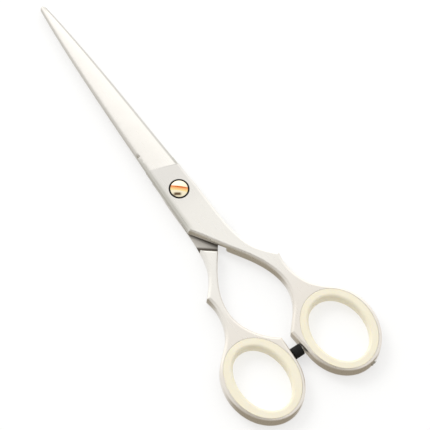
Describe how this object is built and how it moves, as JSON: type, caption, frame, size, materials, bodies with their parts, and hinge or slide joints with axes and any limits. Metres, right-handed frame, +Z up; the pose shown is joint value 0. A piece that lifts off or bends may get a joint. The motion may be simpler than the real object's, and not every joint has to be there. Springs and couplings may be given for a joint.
{
  "type": "hair cutting shears",
  "caption": "Closed barber shears with slender straight blades, oval finger rings with soft inserts, an adjustable slotted pivot screw and a rubber stop between the rings.",
  "frame": {"origin": "the pivot axis where it meets the resting plane, at the flush underside of the threaded insert", "axes": "+Y along the closed blades towards the tips, +Z up along the pivot axis towards the screw head, +X towards the finger ring"},
  "size_m": [0.057, 0.1656, 0.0056],
  "materials": {
    "satin_steel": "satin ground, blade faces polished",
    "gilt_screw": "polished gilt",
    "black_nylon": "matt black nylon",
    "spring_steel": "tempered strip",
    "bronze": "turned bronze",
    "white_ptfe": "matt white PTFE",
    "turned_steel": "turned stainless steel",
    "ivory_silicone": "soft ivory silicone, matt",
    "black_rubber": "matt black rubber"
  },
  "bodies": {
    "finger_side": {"finger_half": "satin_steel", "screw_collar": "black_nylon", "spring_washer": "spring_steel", "pivot_bush": "bronze", "finger_ring_insert": "ivory_silicone", "bumper": "black_rubber", "bumper_stud": "turned_steel", "finger_rest_plug": "turned_steel"},
    "thumb_side": {"thumb_half": "satin_steel", "glide_washer": "white_ptfe", "threaded_insert": "turned_steel", "thumb_ring_insert": "ivory_silicone"},
    "screw": {"pivot_screw": "gilt_screw"}
  },
  "joints": [
    {"name": "blade_pivot", "type": "hinge", "parent": "finger_side", "child": "thumb_side", "pos_m": [0, 0, 0.0025], "axis": [0, 0, -1], "range_deg": [0, 90]},
    {"name": "tension_screw", "type": "hinge", "parent": "thumb_side", "child": "screw", "pos_m": [0, 0, 0.0025], "axis": [0, 0, 1], "range_deg": [-45, 45]}
  ]
}
